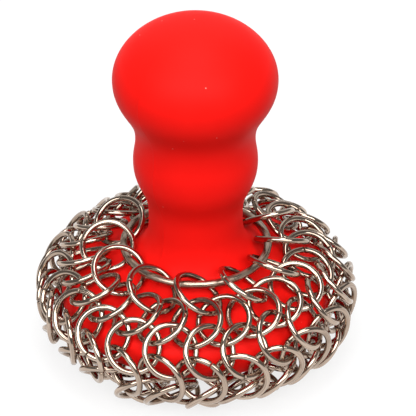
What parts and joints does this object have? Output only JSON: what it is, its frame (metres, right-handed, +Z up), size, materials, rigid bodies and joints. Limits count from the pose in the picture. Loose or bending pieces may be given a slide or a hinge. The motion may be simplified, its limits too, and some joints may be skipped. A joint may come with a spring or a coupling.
{
  "type": "pot scrubber",
  "caption": "Hand pot scrubber: moulded silicone knob handle with a flat dome held in a pouch of linked steel wire rings that hangs from a thicker ring round its neck.",
  "frame": {"origin": "middle of the mail face that the scrubber rests on", "axes": "+Z up along the handle's axis, the picture looks along +Y"},
  "size_m": [0.0748, 0.0747, 0.0841],
  "materials": {
    "silicone": "smooth matte moulded",
    "ring_wire": "bright drawn wire",
    "neck_wire": "bright drawn wire"
  },
  "bodies": {
    "handle": {"handle": "silicone"},
    "neck_ring": {"neck_ring": "neck_wire"},
    "row_1": {"mail_row_1": "ring_wire"},
    "row_2": {"mail_row_2": "ring_wire"},
    "row_3": {"mail_row_3": "ring_wire"},
    "row_4": {"mail_row_4": "ring_wire"},
    "row_5": {"mail_row_5": "ring_wire"},
    "row_6": {"mail_row_6": "ring_wire"},
    "row_7": {"mail_row_7": "ring_wire"},
    "row_8": {"mail_row_8": "ring_wire"},
    "centre_ring": {"centre_ring": "ring_wire"}
  },
  "joints": [
    {"name": "pouch_turn", "type": "hinge", "parent": "handle", "child": "row_1", "pos_m": [0, 0, 0.0264], "axis": [0, 0, 1], "continuous": true},
    {"name": "neck_ring_spin", "type": "hinge", "parent": "row_1", "child": "neck_ring", "pos_m": [0, 0, 0.0264], "axis": [0, 0, 1], "continuous": true},
    {"name": "row_2_shift", "type": "hinge", "parent": "row_1", "child": "row_2", "pos_m": [0, 0, 0.012], "axis": [0, 0, 1], "range_deg": [-1.5, 1.5]},
    {"name": "row_3_shift", "type": "hinge", "parent": "row_2", "child": "row_3", "pos_m": [0, 0, 0.012], "axis": [0, 0, 1], "range_deg": [-1.5, 1.5]},
    {"name": "row_4_shift", "type": "hinge", "parent": "row_3", "child": "row_4", "pos_m": [0, 0, 0.012], "axis": [0, 0, 1], "range_deg": [-1.5, 1.5]},
    {"name": "row_5_shift", "type": "hinge", "parent": "row_4", "child": "row_5", "pos_m": [0, 0, 0.012], "axis": [0, 0, 1], "range_deg": [-1.5, 1.5]},
    {"name": "row_6_shift", "type": "hinge", "parent": "row_5", "child": "row_6", "pos_m": [0, 0, 0.012], "axis": [0, 0, 1], "range_deg": [-1.5, 1.5]},
    {"name": "row_7_shift", "type": "hinge", "parent": "row_6", "child": "row_7", "pos_m": [0, 0, 0.012], "axis": [0, 0, 1], "range_deg": [-1.5, 1.5]},
    {"name": "row_8_shift", "type": "hinge", "parent": "row_7", "child": "row_8", "pos_m": [0, 0, 0.012], "axis": [0, 0, 1], "range_deg": [-1, 1]},
    {"name": "centre_ring_spin", "type": "hinge", "parent": "row_8", "child": "centre_ring", "pos_m": [0, 0, 0.003], "axis": [0, 0, 1], "continuous": true}
  ]
}
